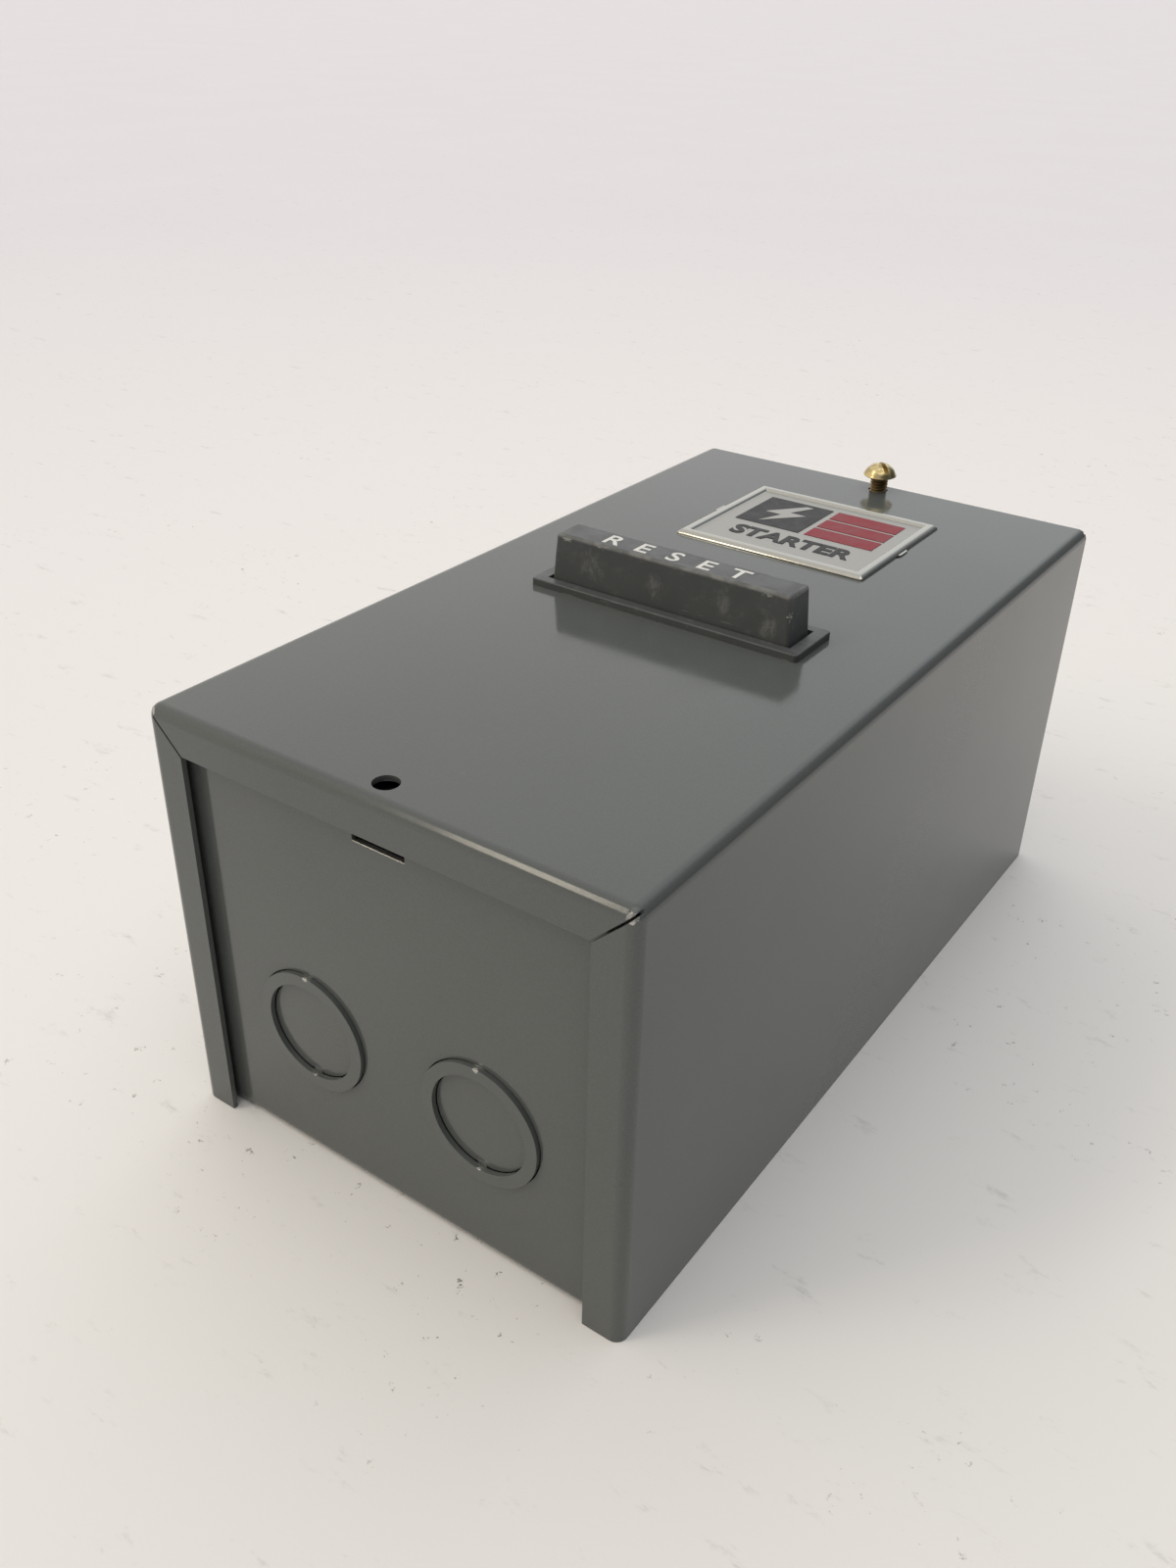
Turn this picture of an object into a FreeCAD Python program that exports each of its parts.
"""Magnetic motor starter in a sheet-metal enclosure, lying on its back.

Row frame, millimetres: X is the width, +Y runs from the conduit end at the bottom of the starter to the
top end, +Z points out of the front. The origin is the centre of the wall plane behind the enclosure.
"""
import FreeCAD, Part

import math
import os

V = FreeCAD.Vector
X, Y, Z = V(1, 0, 0), V(0, 1, 0), V(0, 0, 1)

# Enclosure
WIDTH, LENGTH, DEPTH = 114.0, 210.0, 100.0
SHEET = 1.2
BEND = 2.6
FLANGE = 8.8
MITRE_GAP = 0.5
SCREW_Y = 99.0
COVER_HOLE_R = 2.6

# Base pan, flat against the wall and set back behind the cover's end flanges
PAN_X = 55.3
PAN_Y = 102.2
PAN_TOP = 97.2
PAN_SIDE = 12.0
BOSS_TALL, BOSS_R = 2.0, 5.2
MOUNT_X, MOUNT_Y, MOUNT_HOLE_R = 38.0, 90.0, 3.55
TAB_HALF, TAB_Z, TAB_REACH, WINDOW_Z = 6.3, 94.6, 8.2, 87.3
TAPPED_R = 2.05
FAR_TAB_LIFT = 0.1

# Conduit knockouts, a half-inch disc inside a three-quarter-inch ring
KNOCKOUT_X, KNOCKOUT_Z = 22.0, 34.6
RING_R, DISC_R, SHEAR_GAP = 14.2, 11.3, 0.12
RING_PROUD, DISC_SUNK = 1.0, 0.3

# Reset bar and its bezel
BAR_Y = -5.0
BAR_TOP_X, BAR_TOP_Y, BAR_TOP_Z = 60.0, 8.3, 112.4
BAR_X, BAR_WIDE = 62.0, 10.0
BEZEL_X, BEZEL_WIDE, BEZEL_THICK = 68.6, 15.6, 1.7
BEZEL_NECK = 1.35
BAR_FLANGE_TOP, BAR_FLANGE_BOTTOM = 94.8, 92.6
BAR_SPRING_X = 29.0
BRACKET_FLOOR = 78.5

# Nameplate
PLATE_X, PLATE_LONG, PLATE_Y = 51.4, 44.4, 58.0
PLATE_RIM, PLATE_THICK = 3.0, 1.1

# Cover screw, a No. 10 brass round head standing partly unscrewed
SCREW_R, HEAD_R, HEAD_TALL = 2.4, 4.45, 3.5
SCREW_RAISED, SCREW_LONG = 4.0, 7.94
THREAD_PITCH, THREAD_DEPTH = 0.794, 0.42

# Starter layout
POLES = (-25.5, -8.5, 8.5, 25.5)
PLATE_LOW = SHEET + BOSS_TALL
PLATE_TOP = PLATE_LOW + 2.0
BODY_X, EAR_X = 36.5, 44.0
CONTACTOR_Y0, CONTACTOR_Y1 = 4.0, 72.0
MAGNET_Y0, MAGNET_Y1 = 28.0, 48.0
MIDDLE_Y = (MAGNET_Y0 + MAGNET_Y1) / 2
TRAVEL, OVERTRAVEL = 3.5, 0.8
AIR = 0.1
CORE_TOP = 32.0
DECK_BOTTOM, DECK_TOP = 57.0, 62.0
STRAP = 1.6
LINE_SCREW_Y, LOAD_SCREW_Y = 67.0, 9.0
TIP_REACH = 15.0
RELAY_Y0, RELAY_Y1, RELAY_TOP = -50.0, 0.0, 46.0
THIN_STRAP = 1.2
HEATER_IN_Y, HEATER_OUT_Y, LUG_Y = -7.0, -36.0, -46.0
TRIP_Y = -22.0
BIMETAL_OFFSET = -3.0
LEVER_X, LEVER_Z = 30.5, 26.0
ROD_X, ROD_R, ROD_TOP = 20.0, 2.5, 91.4
LEAD_R = 1.0

nodes = {}


def keep(name, *shapes):
    """Files one node: a single solid, or a group of separate ones."""
    nodes[name] = shapes[0] if len(shapes) == 1 else Part.makeCompound(list(shapes))


def block(x0, x1, y0, y1, z0, z1):
    return Part.makeBox(x1 - x0, y1 - y0, z1 - z0, V(x0, y0, z0))


def slab(x, y, half_x, half_y, z0, z1):
    """A block centred on x, y."""
    return block(x - half_x, x + half_x, y - half_y, y + half_y, z0, z1)


def post(r, x, y, z0, z1):
    return Part.makeCylinder(r, z1 - z0, V(x, y, z0), Z)


def join(first, *others):
    return first.fuse(list(others)).removeSplitter() if others else first


def less(first, *others):
    return first.cut(list(others))


def soften(shape, radius, wanted):
    """Rounds the straight edges whose middle point and direction pass the test."""
    edges = []
    for edge in shape.Edges:
        if len(edge.Vertexes) == 2:
            a, b = edge.Vertexes[0].Point, edge.Vertexes[1].Point
            if wanted((a + b) * 0.5, (b - a).normalize()):
                edges.append(edge)
    return shape.makeFillet(radius, edges)


def upright(mid, along):
    return abs(along.z) > 0.99


def edges_at(shape, z):
    """The edges that lie wholly at one level."""
    return [e for e in shape.Edges if abs(e.BoundBox.ZMin - z) < 1e-6 and abs(e.BoundBox.ZMax - z) < 1e-6]


def coil(wire_r, mean_r, z0, z1, turns, x, y):
    """A coil spring between two levels, its wire clear of both."""
    tall = z1 - z0 - 2 * wire_r - 0.1
    helix = Part.makeLongHelix(tall / turns, tall, mean_r)
    start = Part.Wire([Part.makeCircle(wire_r, V(mean_r, 0, 0), Y)])
    spring = Part.Wire(helix).makePipeShell([start], True, True)
    spring.translate(V(x, y, z0 + wire_r + 0.05))
    return spring


def machine_screw(x, y, seat, head_r, head_tall, r, depth):
    """A slotted binding-head screw standing on a seat, with a domed head."""
    top = seat + head_tall
    head = post(head_r, x, y, seat, top)
    head = head.makeFillet(head_tall * 0.45, edges_at(head, top))
    slot = slab(x, y, head_r + 1, 0.55, seat + head_tall * 0.5, top + 1)
    return less(join(head, post(r, x, y, seat - depth, seat)), slot)


def round_head(x, y, seat, head_r, tall, slot_turn):
    """A slotted round head: a slice of a sphere over a short straight edge."""
    sphere_r = (head_r ** 2 + tall ** 2) / (2 * tall)
    ball = Part.makeSphere(sphere_r, V(x, y, seat + tall - sphere_r))
    head = ball.common(slab(x, y, 2 * head_r, 2 * head_r, seat, seat + 2 * tall))
    slot = slab(x, y, 2 * head_r, 0.65, seat + tall * 0.42, seat + 2 * tall)
    slot.rotate(V(x, y, 0), Z, slot_turn)
    return less(head, slot)


def tube(points, r):
    """A wire along straight runs joined by tangent arcs as large as the runs allow."""
    edges, start = [], points[0]
    for before, corner, after in zip(points, points[1:], points[2:]):
        a, b = before - corner, after - corner
        back = 0.45 * min(a.Length, b.Length)
        a, b = a.normalize(), b.normalize()
        half = a.getAngle(b) / 2
        bend = back * math.tan(half)
        p, q = corner + a * back, corner + b * back
        middle = corner + (a + b).normalize() * (bend / math.sin(half) - bend)
        edges += [Part.LineSegment(start, p).toShape(), Part.Arc(p, middle, q).toShape()]
        start = q
    edges.append(Part.LineSegment(start, points[-1]).toShape())
    profile = Part.Wire([Part.makeCircle(r, points[0], points[1] - points[0])])
    return Part.Wire(edges).makePipeShell([profile], True, True)


# ---------------------------------------------------------------- enclosure

def make_cover():
    half_x, half_y = WIDTH / 2, LENGTH / 2

    def shell(inset, radius, bottom):
        box = block(-half_x + inset, half_x - inset, -half_y + inset, half_y - inset, bottom, DEPTH - inset)
        return soften(box, radius, lambda mid, along: abs(along.z) > 0.99 or mid.z > DEPTH - inset - 0.01)

    cover = less(shell(0, BEND, 0), shell(SHEET, BEND - SHEET, -BEND))
    opening_x, opening_top = half_x - FLANGE, DEPTH - FLANGE
    cuts = []
    for end in (-1, 1):
        y = end * half_y
        low, high = sorted((y + end, y - end * (SHEET + 0.4)))
        cuts.append(block(-opening_x, opening_x, low, high, -1, opening_top))
        for side in (-1, 1):
            low, high = sorted((y + end, y - end * BEND))
            slit = block(-0.3, FLANGE * 1.6, low, high, -MITRE_GAP / 2, MITRE_GAP / 2)
            slit.rotate(V(0, 0, 0), Y, -45 if side > 0 else -135)
            slit.translate(V(side * opening_x, 0, opening_top))
            cuts.append(slit)
        cuts.append(post(COVER_HOLE_R, 0, end * SCREW_Y, DEPTH - 5, DEPTH + 1))
    neck_x, neck_y = BAR_X / 2 + 0.35 + BEZEL_NECK, BAR_WIDE / 2 + 0.35 + BEZEL_NECK
    cuts.append(slab(0, BAR_Y, neck_x + 0.2, neck_y + 0.2, DEPTH - 5, DEPTH + 1))
    for side in (-1, 1):
        cuts.append(slab(side * (PLATE_X / 2 - 0.4), PLATE_Y, 0.75, 3.4, DEPTH - 5, DEPTH + 1))
    keep("cover", less(cover, *cuts))


def make_base_pan():
    def trough(half, along_half, top, turn):
        outer = block(-along_half, along_half, -half, half, 0, top)
        outer = soften(outer, BEND, lambda mid, along: abs(along.x) > 0.99 and mid.z < 0.01)
        inner = block(-along_half - 1, along_half + 1, -half + SHEET, half - SHEET, SHEET, top + 1)
        inner = soften(inner, BEND - SHEET, lambda mid, along: abs(along.x) > 0.99 and mid.z < SHEET + 0.01)
        channel = less(outer, inner)
        channel.rotate(V(0, 0, 0), Z, turn)
        return channel

    parts = [trough(PAN_X, PAN_Y - BEND - 2.4, PAN_SIDE, 90)]
    cuts, tabs = [], []
    for end, tab_hole_r, tab_low in ((-1, TAPPED_R, TAB_Z), (1, SCREW_R + 0.06, TAB_Z + FAR_TAB_LIFT)):
        low, high = sorted((end * PAN_Y, end * (PAN_Y - SHEET)))
        parts.append(block(-PAN_X, PAN_X, low, high, PAN_SIDE + 1.5, PAN_TOP))
        cuts.append(block(-TAB_HALF, TAB_HALF, low - 1, high + 1, WINDOW_Z, PAN_TOP + 1))
        low, high = sorted((end * PAN_Y, end * (PAN_Y - TAB_REACH)))
        tab = block(-TAB_HALF, TAB_HALF, low, high, tab_low, tab_low + SHEET)
        tabs.append(less(tab, post(tab_hole_r, 0, end * SCREW_Y, tab_low - 1, tab_low + 2)))
        for side in (-1, 1):
            centre = V(side * KNOCKOUT_X, end * PAN_Y - 5, KNOCKOUT_Z)
            cuts.append(Part.makeCylinder(RING_R, 10, centre, Y))
    for x, y in PLATE_SCREWS + [GROUND]:
        parts.append(Part.makeCone(BOSS_R + BOSS_TALL, BOSS_R, BOSS_TALL, V(x, y, SHEET), Z))
        cuts.append(Part.makeCone(BOSS_R + BOSS_TALL - 0.6, BOSS_R - 0.6, BOSS_TALL, V(x, y, 0), Z))
        cuts.append(post(2.1, x, y, -1, PLATE_LOW + 1))
    for x in (-MOUNT_X, MOUNT_X):
        cuts += [post(MOUNT_HOLE_R, x, y, -1, SHEET + 1) for y in (-MOUNT_Y, MOUNT_Y)]
    pan = join(less(join(trough(PAN_Y, PAN_X - BEND - 0.4, PAN_TOP, 0), *parts), *cuts), *tabs)
    keep("base_pan", pan)
    make_knockouts(pan)


def make_knockouts(pan):
    """Sheared discs and rings, each still hanging on one narrow tie."""
    discs, rings = [], []
    for end in (-1, 1):
        for side in (-1, 1):
            x = side * KNOCKOUT_X

            def disc(r, proud, grow=0.0):
                face = end * (PAN_Y + proud)
                low = min(face, face - end * SHEET)
                return Part.makeCylinder(r, SHEET + grow, V(x, low - grow / 2, KNOCKOUT_Z), Y)

            ring = less(disc(RING_R - SHEAR_GAP, RING_PROUD), disc(DISC_R, RING_PROUD, 2))
            low, high = sorted((end * PAN_Y, end * (PAN_Y + RING_PROUD - SHEET)))
            tie = block(x - 1.1, x + 1.1, low, high, KNOCKOUT_Z + RING_R - 1, KNOCKOUT_Z + RING_R + 0.2)
            rings.append(less(join(ring, tie), pan))
            inner = disc(DISC_R - SHEAR_GAP, -DISC_SUNK)
            low, high = sorted((end * (PAN_Y - DISC_SUNK), end * (PAN_Y + RING_PROUD - SHEET)))
            tie = block(x - 1.1, x + 1.1, low, high, KNOCKOUT_Z - DISC_R - 0.2, KNOCKOUT_Z - DISC_R + 1)
            discs.append(less(join(inner, tie), rings[-1]))
    keep("knockouts", *discs, *rings)


def make_reset_bar():
    low = DEPTH + BEZEL_THICK
    foot = BRACKET_FLOOR + SHEET

    def taper(wide_low, wide_high, across, along, length):
        """A prism whose section narrows from the bar's flange up to its top."""
        low_pair = [(-wide_low / 2, BAR_FLANGE_TOP), (wide_low / 2, BAR_FLANGE_TOP)]
        high_pair = [(wide_high / 2, BAR_TOP_Z), (-wide_high / 2, BAR_TOP_Z)]
        corners = [across * offset + Z * z - along * (length / 2) for offset, z in low_pair + high_pair]
        prism = Part.Face(Part.makePolygon(corners + corners[:1])).extrude(along * length)
        prism.translate(Y * BAR_Y)
        return prism

    bar = taper(BAR_X, BAR_TOP_X, X, Y, 20).common(taper(BAR_WIDE, BAR_TOP_Y, Y, X, 80))
    bar = soften(bar, 0.9, lambda mid, along: mid.z > BAR_FLANGE_TOP + 1)
    stop = slab(0, BAR_Y, 33.4, 6.3, BAR_FLANGE_BOTTOM, BAR_FLANGE_TOP)
    keep("reset_button", join(bar, stop))

    hole_x, hole_y = BAR_X / 2 + 0.35, BAR_WIDE / 2 + 0.35
    rim = soften(slab(0, BAR_Y, BEZEL_X / 2, BEZEL_WIDE / 2, DEPTH, low), 0.8, upright)
    rim = soften(rim, 0.3, lambda mid, along: mid.z > low - 0.01)
    neck = slab(0, BAR_Y, hole_x + BEZEL_NECK, hole_y + BEZEL_NECK, BAR_FLANGE_TOP + 0.2, DEPTH)
    under, reach = DEPTH - SHEET - 0.1, hole_y + BEZEL_NECK + 0.2
    barbs = [slab(x, BAR_Y + s * reach, 3, 0.35, under - 0.9, under) for x in (-20, 20) for s in (-1, 1)]
    keep("button_bezel", less(join(rim, neck, *barbs), slab(0, BAR_Y, hole_x, hole_y, 90, 110)))

    floor = slab(0, BAR_Y, 35.6, 7, BRACKET_FLOOR, foot)
    legs = [slab(s * 35.0, BAR_Y, 0.6, 7, BRACKET_FLOOR, DEPTH - SHEET) for s in (-1, 1)]
    feet = [slab(s * 39.5, BAR_Y, 5.1, 7, DEPTH - 2 * SHEET, DEPTH - SHEET) for s in (-1, 1)]
    slot = slab(0, BAR_Y, 24.3, 4.6, BRACKET_FLOOR - 1, foot + 1)
    keep("spring_bracket", less(join(floor, *legs, *feet), slot))
    springs = [coil(0.45, 3.3, foot, BAR_FLANGE_BOTTOM, 6, s * BAR_SPRING_X, BAR_Y) for s in (-1, 1)]
    keep("button_springs", *springs)


def make_nameplate():
    """A drawn plate with a raised bevelled rim, held by two bent tabs."""
    plate = slab(0, PLATE_Y, PLATE_X / 2, PLATE_LONG / 2, DEPTH, DEPTH + PLATE_THICK)
    plate = soften(plate, 0.45, lambda mid, along: mid.z > DEPTH + PLATE_THICK - 0.01 or abs(along.z) > 0.99)
    inner_x, inner_y = PLATE_X / 2 - PLATE_RIM, PLATE_LONG / 2 - PLATE_RIM
    well = slab(0, PLATE_Y, inner_x, inner_y, DEPTH + PLATE_THICK - 0.6, DEPTH + PLATE_THICK + 1)
    plate = less(plate, well)
    low = DEPTH - SHEET - 0.7
    tabs = []
    for side in (-1, 1):
        x = side * (PLATE_X / 2 - 0.4)
        tabs.append(slab(x, PLATE_Y, 0.3, 3, low, DEPTH + 0.3))
        tabs.append(slab(x - side * 1.8, PLATE_Y, 2.1, 3, low, low + 0.6))
    keep("nameplate", join(plate, *tabs))


def make_cover_screw():
    """The screw, and the fibre washer under the cover that keeps it from falling out."""
    seat = DEPTH + SCREW_RAISED
    tip = seat - SCREW_LONG
    head = round_head(0, SCREW_Y, seat, HEAD_R, HEAD_TALL, -38)
    turns = int((SCREW_LONG - 1.0) / THREAD_PITCH)
    profile = [V(0, 0, seat + 0.2), V(SCREW_R, 0, seat + 0.2)]
    for turn in range(turns):
        z = seat - 0.35 - turn * THREAD_PITCH
        valley = V(SCREW_R - THREAD_DEPTH, 0, z - THREAD_PITCH / 2)
        profile += [V(SCREW_R, 0, z), valley, V(SCREW_R, 0, z - THREAD_PITCH + 0.06)]
    profile += [V(SCREW_R - 0.6, 0, tip), V(0, 0, tip)]
    shank = Part.Face(Part.makePolygon(profile + profile[:1])).revolve(V(0, 0, 0), Z, 360)
    shank.translate(V(0, SCREW_Y, 0))
    keep("cover_screw", join(head, shank))
    low = DEPTH - SHEET - 0.7
    washer = less(post(3.6, 0, SCREW_Y, low, low + 0.6), post(SCREW_R + 0.05, 0, SCREW_Y, low - 1, low + 1))
    keep("screw_retainer", washer)


# ---------------------------------------------------------------- starter plate and contactor

PLATE_SCREWS = [(-36.0, -54.0), (36.0, -54.0), (-36.0, 76.0), (36.0, 76.0)]
EAR_SCREWS = [(-40.3, 20.0), (40.3, 20.0), (-40.3, 56.0), (40.3, 56.0)]
RELAY_SCREWS = [(-40.3, -25.0), (40.3, -25.0)]
GROUND = (0.0, -84.0)
EAR_TOP = PLATE_TOP + 3.8
COIL_SCREWS = [(BODY_X + 4.4, 29.0), (BODY_X + 4.4, 47.0)]
COIL_SEAT = 36.0
ARC_SCREWS = [(0.0, 21.0), (0.0, 55.0)]
ARC_TOP = 86.5
CONTROL_SCREWS = [(25.5, -34.0), (32.4, -8.5)]


def make_mounting():
    ears = EAR_SCREWS + RELAY_SCREWS
    plate = soften(block(-46, 46, -59, 80.5, PLATE_LOW, PLATE_TOP), 3, upright)
    holes = [post(2.1, x, y, PLATE_LOW - 1, PLATE_TOP + 1) for x, y in PLATE_SCREWS + ears]
    keep("starter_plate", less(plate, *holes))
    keep("plate_screws", *[machine_screw(x, y, PLATE_TOP, 3.9, 2.6, 2.0, 3.6) for x, y in PLATE_SCREWS])
    keep("starter_screws", *[machine_screw(x, y, EAR_TOP, 3.3, 2.4, 2.0, 5.4) for x, y in ears])

    x, y = GROUND
    corners = [V(x + 4.6 * math.cos(a), y + 4.6 * math.sin(a), PLATE_LOW + 1)
               for a in (i * math.pi / 3 for i in range(7))]
    hexagon = Part.Face(Part.makePolygon(corners)).extrude(Z * 4)
    washer = post(5.1, x, y, PLATE_LOW, PLATE_LOW + 1)
    slot = slab(x, y, 8, 0.6, PLATE_LOW + 3.2, PLATE_LOW + 6)
    keep("ground_screw", less(join(hexagon, washer, post(2.0, x, y, 0.4, PLATE_LOW)), slot))


def make_contactor_base():
    ears = block(-EAR_X, EAR_X, 14, 62, PLATE_TOP, EAR_TOP)
    ears = soften(ears, 2.5, upright)
    body = block(-BODY_X, BODY_X, CONTACTOR_Y0 + 2, CONTACTOR_Y1 - 2, PLATE_TOP, 40)
    body = soften(body, 2, upright)
    cavity = block(-25, 25, 17, 59, 8, 41)
    holes = [post(2.1, x, y, PLATE_TOP - 1, EAR_TOP + 1) for x, y in EAR_SCREWS]
    keep("contactor_base", less(join(body, ears), cavity, *holes))

    terminals = []
    for x, y in COIL_SCREWS:
        wall = block(BODY_X, BODY_X + 0.8, y - 4, y + 4, 26, COIL_SEAT)
        foot = block(BODY_X, BODY_X + 8.2, y - 4, y + 4, COIL_SEAT - 0.8, COIL_SEAT)
        terminals.append(less(join(wall, foot), post(1.7, x, y, COIL_SEAT - 2, COIL_SEAT + 2)))
    keep("coil_terminals", *terminals)


def make_magnet():
    y0, y1 = MAGNET_Y0, MAGNET_Y1

    def legs(low, high):
        outer = [block(*sorted((s * 15.5, s * 22)), y0, y1, low, high) for s in (-1, 1)]
        return [block(-6.5, 6.5, y0, y1, low, high)] + outer

    core = join(block(-22, 22, y0, y1, 8, 15), *legs(15, CORE_TOP))
    grooves = [slab(s * 18.8, MIDDLE_Y, 0.65, 11, CORE_TOP - 2.6, CORE_TOP + 1) for s in (-1, 1)]
    keep("magnet_core", less(core, *grooves))
    rings = []
    for s in (-1, 1):
        outer = block(*sorted((s * 14.1, s * 19.4)), y0 - 1.3, y1 + 1.3, CORE_TOP - 2.5, CORE_TOP - 0.4)
        inner = block(*sorted((s * 15.45, s * 18.2)), y0 - 0.1, y1 + 0.1, CORE_TOP - 3, CORE_TOP)
        rings.append(less(outer, inner))
    keep("shading_rings", *rings)
    moving = join(block(-22, 22, y0, y1, 45, 52), *legs(CORE_TOP + TRAVEL + AIR, 45))
    keep("armature", less(moving, Part.makeCylinder(2.02, 40, V(0, 18, 48.5), Y)))
    keep("armature_pin", Part.makeCylinder(1.95, 31.4, V(0, MIDDLE_Y - 15.7, 48.5), Y))

    spool = join(block(-8.1, 8.1, 26.4, 49.6, 15.3, 29), block(-15, 15, 19, 57, 15.3, 16.8),
                 block(-15, 15, 19, 57, 27.5, 29))
    keep("coil_bobbin", less(spool, block(-6.8, 6.8, 27.7, 48.3, 14, 31)))
    winding = soften(block(-14.2, 14.2, 20.2, 55.8, 16.9, 27.4), 4, upright)
    keep("coil_winding", less(winding, block(-8.2, 8.2, 26.3, 49.7, 16, 29)))


def make_carrier():
    """The crossbar that ties the armature to the four moving contacts."""
    cheeks = [block(-8, 8, 21, 27.8, 44, 56), block(-8, 8, 48.2, 55, 44, 56)]
    bridge = block(-8, 8, 21, 55, 52.1, 56)
    stem = block(-8, 8, MIDDLE_Y - 4, MIDDLE_Y + 4, 56, 67)
    bar = soften(block(-33.6, 33.6, MIDDLE_Y - 5, MIDDLE_Y + 5, 66, 82), 1, upright)
    tip = DECK_TOP + STRAP + 1.2 + TRAVEL - OVERTRAVEL + AIR
    windows = [slab(x, MIDDLE_Y, 4.6, 9, tip + 1.1, 79) for x in POLES]
    pin = Part.makeCylinder(2.0, 40, V(0, 18, 48.5), Y)
    keep("contact_carrier", less(join(bridge, stem, bar, *cheeks), pin, *windows))
    for number, x in enumerate(POLES, 1):
        bar = slab(x, MIDDLE_Y, 4, 18, tip + 1.2, tip + 2.7)
        tips = [post(3.2, x, MIDDLE_Y + s * TIP_REACH, tip, tip + 1.2) for s in (-1, 1)]
        keep(f"moving_contact_{number}", join(bar, *tips))
    keep("contact_springs", *[coil(0.4, 2.7, tip + 2.7, 79, 4, x, MIDDLE_Y) for x in POLES])
    keep("return_springs", *[coil(0.45, 2.8, 29, 44, 6, 0, y) for y in (24.2, 51.8)])


def make_contact_block():
    y0, y1 = CONTACTOR_Y0, CONTACTOR_Y1
    walls = block(-BODY_X, BODY_X, y0 + 2, y1 - 2, 40, DECK_BOTTOM)
    walls = less(walls, block(-25, 25, 17, 59, 39, DECK_BOTTOM))
    deck = block(-BODY_X, BODY_X, y0, y1, DECK_BOTTOM, DECK_TOP)
    ribs = []
    for x in (-35.6, -17, 0, 17, 35.6):
        for low, high in ((y0, 13.6), (62.4, y1)):
            ribs.append(slab(x, (low + high) / 2, 0.9, (high - low) / 2, DECK_TOP, DECK_TOP + 9))
    cuts = [block(-8.3, 8.3, MIDDLE_Y - 4.3, MIDDLE_Y + 4.3, DECK_BOTTOM - 1, DECK_TOP + 1)]
    for x in POLES:
        cuts += [post(2.1, x, y, DECK_TOP - 4.6, DECK_TOP + 1) for y in (LINE_SCREW_Y, LOAD_SCREW_Y)]
    cuts += [post(1.6, x, y, DECK_TOP - 4.5, DECK_TOP + 1) for x, y in ARC_SCREWS]
    keep("contact_block", less(join(deck, walls, *ribs), *cuts))

    for number, x in enumerate(POLES, 1):
        for name, screw_y, sign in (("line", LINE_SCREW_Y, 1), ("load", LOAD_SCREW_Y, -1)):
            tip_y = MIDDLE_Y + sign * TIP_REACH
            low, high = sorted((screw_y + sign * 4.6, tip_y - sign * 3.6))
            strap = block(x - 5.4, x + 5.4, low, high, DECK_TOP, DECK_TOP + STRAP)
            button = post(3.5, x, tip_y, DECK_TOP + STRAP, DECK_TOP + STRAP + 1.2)
            hole = post(2.1, x, screw_y, DECK_TOP - 1, DECK_TOP + 4)
            keep(f"{name}_contact_{number}", less(join(strap, button), hole))
    seat = DECK_TOP + STRAP
    screws = [machine_screw(x, LINE_SCREW_Y, seat, 4.2, 2.8, 2.0, 6) for x in POLES]
    for x, z in zip(POLES, [seat + THIN_STRAP] * 3 + [seat]):
        screws.append(machine_screw(x, LOAD_SCREW_Y, z, 4.2, 2.8, 2.0, z - DECK_TOP + 4.3))
    keep("terminal_screws", *screws)


def make_arc_cover():
    """A hood over the contacts, with a barrier between each pair of poles."""
    low = DECK_TOP
    y0, y1 = 15.0, 61.0
    hood = block(-BODY_X, BODY_X, y0, y1, low, ARC_TOP)
    hood = soften(hood, 1.5, lambda mid, along: mid.z > ARC_TOP - 0.01)
    cuts = []
    edges = [-BODY_X + 1.4, -17.7, -16.3, -0.7, 0.7, 16.3, 17.7, BODY_X - 1.4]
    for left, right in zip(edges[::2], edges[1::2]):
        cuts.append(block(left, right, y0 + 1.4, y1 - 1.4, low - 1, ARC_TOP - 1.8))
    cuts.append(block(-34.4, 34.4, MIDDLE_Y - 6, MIDDLE_Y + 6, low - 1, ARC_TOP - 1.8))
    for x in POLES:
        cuts.append(slab(x, 38, 5.7, 30, low - 1, low + STRAP + 1.4))
        cuts += [slab(x + s * 3.2, MIDDLE_Y + 15, 1.0, 4.5, ARC_TOP - 3, ARC_TOP + 1) for s in (-1, 1)]
        cuts += [slab(x + s * 3.2, MIDDLE_Y - 15, 1.0, 4.5, ARC_TOP - 3, ARC_TOP + 1) for s in (-1, 1)]
    bosses = [post(2.9, x, y, low, ARC_TOP - 1) for x, y in ARC_SCREWS]
    holes = [post(1.7, x, y, low - 1, ARC_TOP + 1) for x, y in ARC_SCREWS]
    keep("arc_cover", less(join(less(hood, *cuts), *bosses), *holes))
    long = ARC_TOP - DECK_TOP + 4.2
    keep("arc_cover_screws", *[machine_screw(x, y, ARC_TOP, 3.0, 2.0, 1.55, long) for x, y in ARC_SCREWS])


# ---------------------------------------------------------------- overload relay

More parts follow.
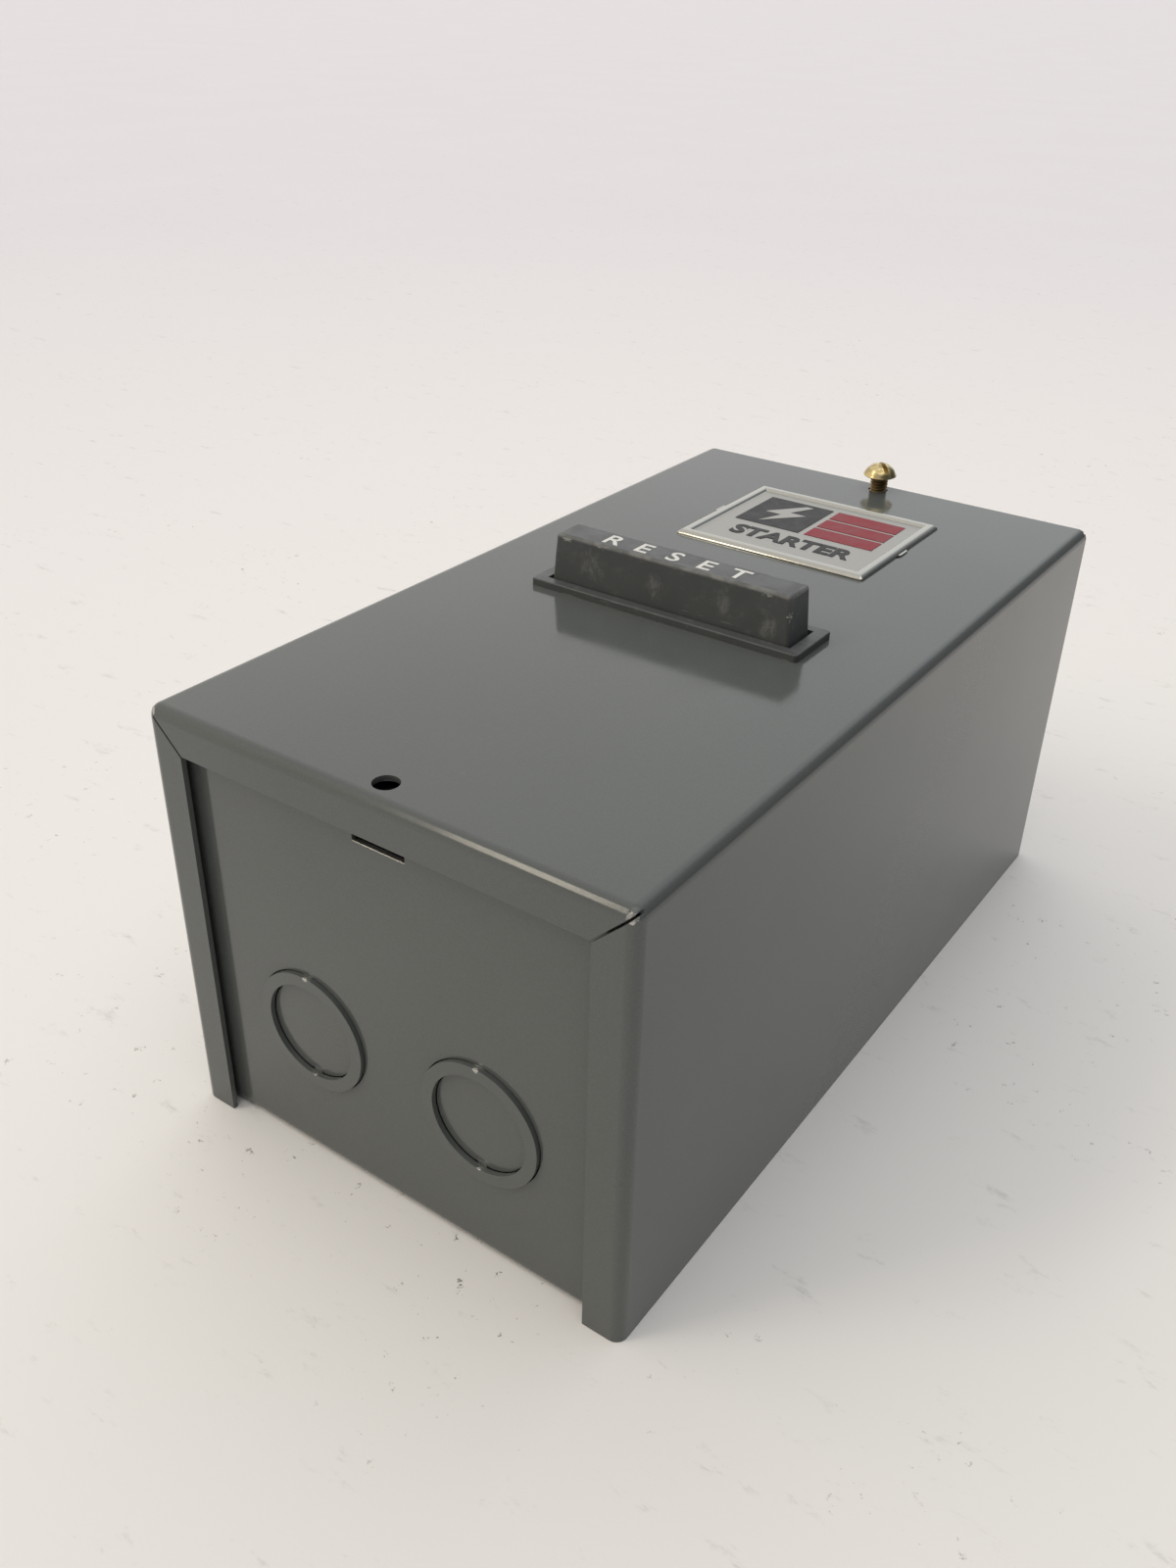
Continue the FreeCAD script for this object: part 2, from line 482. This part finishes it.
def make_relay_base():
    y0, y1, top = RELAY_Y0, RELAY_Y1, RELAY_TOP
    ears = soften(block(-EAR_X, EAR_X, -33, -17, PLATE_TOP, EAR_TOP), 2.5, upright)
    body = soften(block(-BODY_X, BODY_X, y0, y1, PLATE_TOP, top), 2, upright)
    ribs = []
    for x in (-35.6, -17, 0, 17):
        ribs.append(block(x - 0.9, x + 0.9, y0 + 0.5, -29, top, top + 10))
        if x < 17:
            ribs.append(block(x - 0.9, x + 0.9, -14, y1 - 0.5, top, top + 10))
    cuts = [block(-33, 35, -28, -16, 18, top + 1)]
    cuts += [post(2.1, x, y, top - 5, top + 1) for x in POLES[:3] for y in (HEATER_IN_Y, HEATER_OUT_Y, LUG_Y)]
    cuts += [post(1.7, x, y, top - 5, top + 1) for x, y in CONTROL_SCREWS]
    cuts += [post(2.1, x, y, PLATE_TOP - 1, EAR_TOP + 1) for x, y in RELAY_SCREWS]
    cuts.append(post(ROD_R + 0.08, ROD_X, BAR_Y, 22, top + 1))
    cuts.append(Part.makeCylinder(1.3, 16, V(LEVER_X, -30, LEVER_Z), Y))
    ledges = [block(-33, -31, -28, -16, 18, 38.9), block(13, 16, -28, -16, 18, 38.9)]
    base = join(less(join(body, ears, *ribs), *cuts), *ledges)
    keep("relay_base", base)


def make_trip_parts():
    strips, windows = [], []
    for x in POLES[:3]:
        at = x + BIMETAL_OFFSET
        strips.append(slab(at, TRIP_Y, 0.4, 3, 18, 44))
        windows.append(block(at - 2.6, at + 1.2, TRIP_Y - 4, TRIP_Y + 4, 38, 43))
    keep("bimetals", *strips)
    bar = block(-32.6, LEVER_X - 0.9, TRIP_Y - 5, TRIP_Y + 5, 39, 41.5)
    keep("trip_bar", less(bar, block(24.8, 28.3, TRIP_Y - 3, TRIP_Y + 3, 38, 43), *windows))

    y0 = TRIP_Y - 4
    hub = Part.makeCylinder(2.5, 8, V(LEVER_X, y0, LEVER_Z), Y)
    arm = block(LEVER_X - 0.7, LEVER_X + 0.6, TRIP_Y - 2, TRIP_Y + 2, LEVER_Z, 42)
    button = Part.makeCylinder(1.8, 0.9, V(LEVER_X - 1.6, TRIP_Y, 34), X)
    pin_hole = Part.makeCylinder(1.26, 10, V(LEVER_X, y0 - 1, LEVER_Z), Y)
    keep("contact_lever", less(join(hub, arm, button), pin_hole))
    keep("lever_pin", Part.makeCylinder(1.2, 15.4, V(LEVER_X, -29.7, LEVER_Z), Y))

    top = RELAY_TOP
    fixed = join(block(27.1, 27.9, -24.5, -19.5, 18, top + 0.8),
                 Part.makeCylinder(1.8, 0.9, V(27.9, TRIP_Y, 34), X),
                 block(24.8, 27.9, -31, -19.5, top, top + 0.8),
                 block(21.5, 29.5, -38, -29, top, top + 0.8))
    other = join(block(32, 34.6, -27.8, -27, 18, top + 0.8),
                 block(32, 34.6, -27.8, -12, top, top + 0.8),
                 block(28.6, 36.2, -13, -4.5, top, top + 0.8))
    straps = [less(strap, post(1.7, x, y, top - 1, top + 2))
              for strap, (x, y) in zip((fixed, other), CONTROL_SCREWS)]
    keep("control_contacts", *straps)
    small = [(x, y, top + 0.8) for x, y in CONTROL_SCREWS] + [(x, y, COIL_SEAT) for x, y in COIL_SCREWS]
    keep("control_screws", *[machine_screw(x, y, z, 3.2, 2.2, 1.6, 5) for x, y, z in small])


def make_relay_power_path():
    """Straps in, heaters across the middle, and lugs out to the motor."""
    top, t = RELAY_TOP, THIN_STRAP
    high = DECK_TOP + STRAP
    lugs, lug_screws, heater_screws = [], [], []
    for number, x in enumerate(POLES[:3], 1):
        strap = join(block(x - 4.6, x + 4.6, 1.4, 13.4, high, high + t),
                     block(x - 4.6, x + 4.6, 1.4, 1.4 + t, top, high + t),
                     block(x - 4.6, x + 4.6, HEATER_IN_Y - 4, 1.4 + t, top, top + t))
        holes = [post(2.1, x, LOAD_SCREW_Y, high - 1, high + 3), post(2.1, x, HEATER_IN_Y, top - 1, top + 3)]
        keep(f"relay_strap_{number}", less(strap, *holes))

        seat = top + t
        fins, count = [], 7
        first, last = HEATER_IN_Y - 5, HEATER_OUT_Y + 5
        step = (last - first) / (count - 1)
        for i in range(count):
            y = first + i * step
            fins.append(block(x - 3.8, x + 3.8, y - 0.4, y + 0.4, seat + 0.4, seat + 7))
            if i < count - 1:
                z = seat + 6.2 if i % 2 == 0 else seat + 0.4
                fins.append(block(x - 3.8, x + 3.8, *sorted((y - 0.4, y + step + 0.4)), z, z + 0.8))
        tabs = [block(x - 4.4, x + 4.4, first - 0.4, HEATER_IN_Y + 4, seat, seat + 1),
                block(x - 4.4, x + 4.4, HEATER_OUT_Y - 3.6, last + 0.4, seat, seat + 1)]
        holes = [post(2.1, x, y, seat - 1, seat + 3) for y in (HEATER_IN_Y, HEATER_OUT_Y)]
        keep(f"heater_{number}", less(join(fins[0], *fins[1:], *tabs), *holes))
        for y in (HEATER_IN_Y, HEATER_OUT_Y):
            heater_screws.append(machine_screw(x, y, seat + 1, 3.5, 2.4, 2.0, 6))
        lug = block(x - 5.2, x + 5.2, RELAY_Y0 + 0.2, HEATER_OUT_Y + 4, top, top + t)
        lugs.append(less(lug, *[post(2.1, x, y, top - 1, top + 3) for y in (HEATER_OUT_Y, LUG_Y)]))
        lug_screws.append(machine_screw(x, LUG_Y, top + t, 3.9, 2.8, 2.0, 5.5))
    keep("motor_lugs", *lugs)
    keep("motor_lug_screws", *lug_screws)
    keep("heater_screws", *heater_screws)


def make_reset_rod():
    rod = join(post(ROD_R, ROD_X, BAR_Y, 28, 88.2), post(4.2, ROD_X, BAR_Y, 62, 64),
               post(3.75, ROD_X, BAR_Y, 88, ROD_TOP))
    keep("reset_rod", rod.makeFillet(0.8, edges_at(rod, ROD_TOP)))
    keep("reset_rod_spring", coil(0.4, 3.3, RELAY_TOP, 62, 7, ROD_X, BAR_Y))


def make_coil_leads():
    """The coil's two leads: one to the relay's contact, one to the holding contact."""
    x, z = COIL_SCREWS[0][0], COIL_SEAT + LEAD_R + 0.1
    pad = RELAY_TOP + 0.8 + LEAD_R + 0.1
    strap = DECK_TOP + STRAP + LEAD_R + 0.1
    to_relay = [V(x, 25.6, z), V(x + 0.3, 15, z + 1), V(x + 0.7, 6, 42), V(x - 1.4, 0.5, 48.1),
                V(34.6, -5.8, pad)]
    to_contact = [V(x, 50.4, z), V(x - 0.2, 61, z + 1), V(x - 1.5, 70.5, 41), V(34, 77.5, 46.5),
                  V(28, 82, 54.5), V(25.8, 81, 62.5), V(25.5, 71.4, strap)]
    keep("coil_leads", *[tube(route, LEAD_R) for route in (to_relay, to_contact)])


def build():
    make_cover()
    make_base_pan()
    make_reset_bar()
    make_nameplate()
    make_cover_screw()
    make_mounting()
    make_contactor_base()
    make_magnet()
    make_carrier()
    make_contact_block()
    make_arc_cover()
    make_relay_base()
    make_trip_parts()
    make_relay_power_path()
    make_reset_rod()
    make_coil_leads()


def main():
    os.makedirs("parts", exist_ok=True)
    build()
    for name, shape in nodes.items():
        bad = [s for s in shape.Solids if not s.isValid() or s.Volume <= 0]
        if bad or not shape.Solids:
            print("PROBLEM", name, len(shape.Solids), len(bad))
        shape.exportStep(f"parts/{name}.step")
    print(len(nodes), "nodes")


main()
